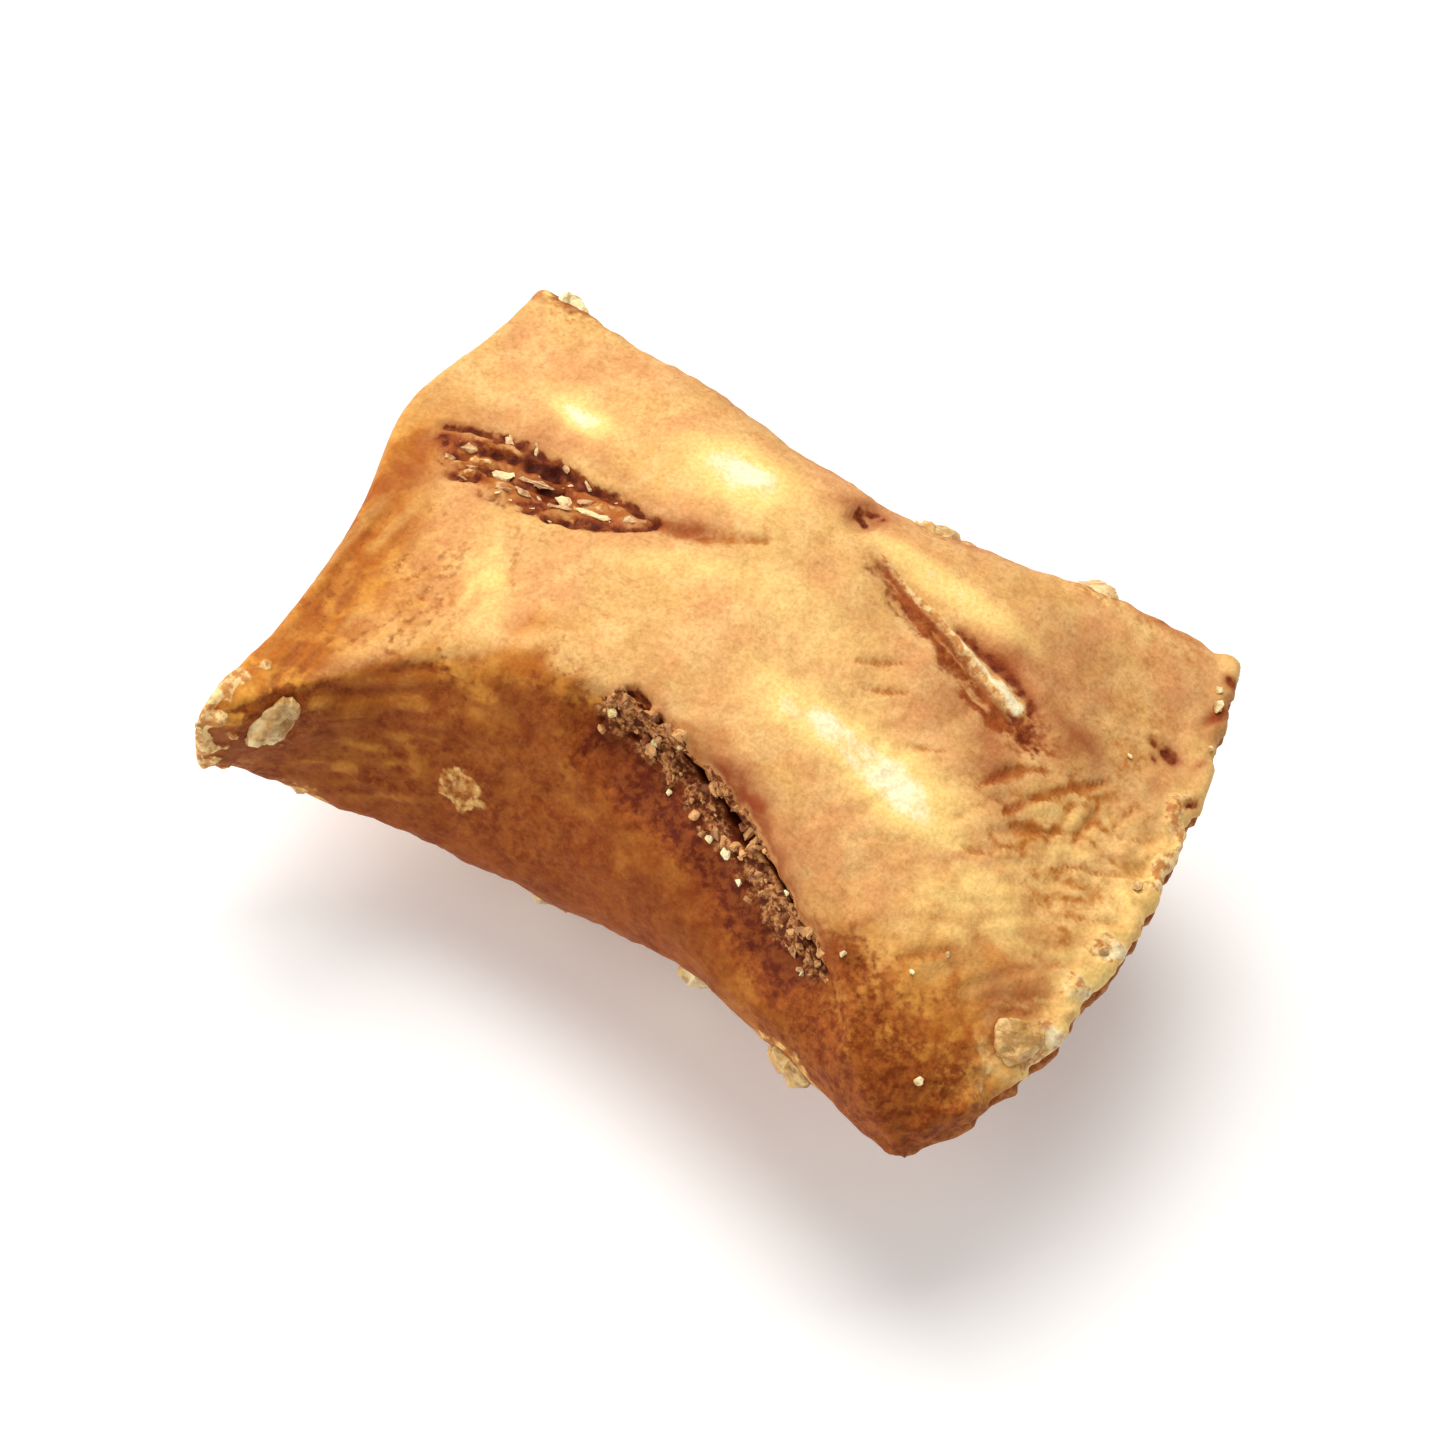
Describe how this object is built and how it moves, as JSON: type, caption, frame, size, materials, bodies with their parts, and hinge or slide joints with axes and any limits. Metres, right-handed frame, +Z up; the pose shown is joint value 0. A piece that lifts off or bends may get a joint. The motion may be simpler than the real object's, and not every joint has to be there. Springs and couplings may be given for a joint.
{
  "type": "peanut butter filled pretzel",
  "caption": "Filled pretzel nugget: a pillow of baked dough pinched at both ends, with a flat pale side, handling dents and coarse salt on the dome.",
  "frame": {"origin": "middle of the bounding box in plan, on the flat resting spot under the dome", "axes": "+X along the dough rope to the bowed end, +Y to the back, +Z up through the pale flat side"},
  "size_m": [0.029, 0.021, 0.0129],
  "materials": {
    "baked_crust": "baked pretzel crust, golden brown, satin, with coarse salt"
  },
  "bodies": {
    "root": {"pretzel_nugget": "baked_crust"}
  },
  "joints": []
}
